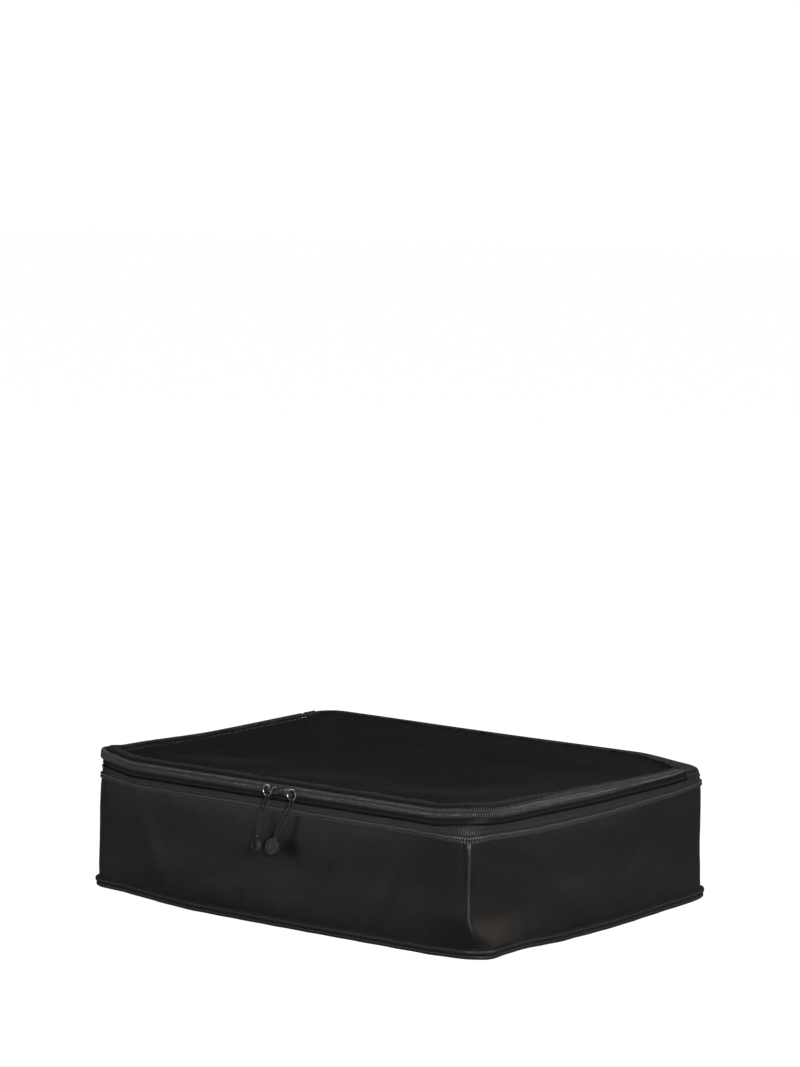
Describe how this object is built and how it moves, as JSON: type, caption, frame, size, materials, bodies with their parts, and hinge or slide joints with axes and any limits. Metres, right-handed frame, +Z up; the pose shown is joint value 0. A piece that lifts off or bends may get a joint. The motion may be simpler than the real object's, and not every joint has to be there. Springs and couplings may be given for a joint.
{
  "type": "packing cube",
  "caption": "Soft rectangular nylon packing cube with a see-through mesh lid that a zip opens on the front and both sides, with cord pulls.",
  "frame": {"origin": "middle of the underside of the base panel, which the cube rests on", "axes": "+X to the right along the long zipped front, +Y towards the hinged back, +Z up"},
  "size_m": [0.4484, 0.3506, 0.1272],
  "materials": {
    "wall_fabric": "satin black lined nylon",
    "binding_tape": "ribbed black tape",
    "twill_band": "matte black twill",
    "zip_tape": "matte woven polyester",
    "zip_coil": "black nylon coil",
    "mesh": "open knitted mesh",
    "slider_metal": "bright nickel plate",
    "ring_metal": "bright nickel wire",
    "pull_cord": "braided black cord",
    "pull_rubber": "satin moulded rubber"
  },
  "bodies": {
    "bag": {"base_panel": "wall_fabric", "side_wall": "wall_fabric", "back_wall": "wall_fabric", "back_seam_bindings": "binding_tape", "base_binding": "binding_tape", "rim_binding": "binding_tape", "rim_band": "twill_band", "lower_zip_tape": "zip_tape", "lower_hinge_flap": "twill_band", "lower_zip_coil": "zip_coil", "lower_zip_end_tabs": "binding_tape"},
    "lid": {"lid_binding": "binding_tape", "mesh_panel": "mesh", "upper_zip_tape": "zip_tape", "upper_hinge_flap": "twill_band", "upper_zip_coil": "zip_coil", "upper_zip_end_tabs": "binding_tape"},
    "left_slider": {"left_slider": "slider_metal"},
    "left_ring": {"left_pull_ring": "ring_metal"},
    "left_pull": {"left_pull_cord": "pull_cord", "left_pull_disc": "pull_rubber"},
    "right_slider": {"right_slider": "slider_metal"},
    "right_ring": {"right_pull_ring": "ring_metal"},
    "right_pull": {"right_pull_cord": "pull_cord", "right_pull_disc": "pull_rubber"}
  },
  "joints": [
    {"name": "lid_hinge", "type": "hinge", "parent": "bag", "child": "lid", "pos_m": [0, 0.1651, 0.12], "axis": [-1, 0, 0], "range_deg": [0, 180]},
    {"name": "left_slider_run", "type": "slide", "parent": "bag", "child": "left_slider", "axis": [-1, 0, 0], "range_m": [0, 0.15]},
    {"name": "right_slider_run", "type": "slide", "parent": "bag", "child": "right_slider", "axis": [1, 0, 0], "range_m": [0, 0.15]},
    {"name": "left_ring_flip", "type": "hinge", "parent": "left_slider", "child": "left_ring", "pos_m": [-0.0061, -0.1692, 0.12], "axis": [-0.342, 0, 0.9397], "range_deg": [0, 110]},
    {"name": "right_ring_flip", "type": "hinge", "parent": "right_slider", "child": "right_ring", "pos_m": [0.0131, -0.1692, 0.12], "axis": [-0.5, 0, -0.866], "range_deg": [0, 110]},
    {"name": "left_pull_swing", "type": "hinge", "parent": "left_ring", "child": "left_pull", "pos_m": [-0.01042, -0.1692, 0.11383], "axis": [-1, 0, 0], "range_deg": [0, 90]},
    {"name": "right_pull_swing", "type": "hinge", "parent": "right_ring", "child": "right_pull", "pos_m": [0.01708, -0.1692, 0.1131], "axis": [-1, 0, 0], "range_deg": [0, 90]}
  ]
}
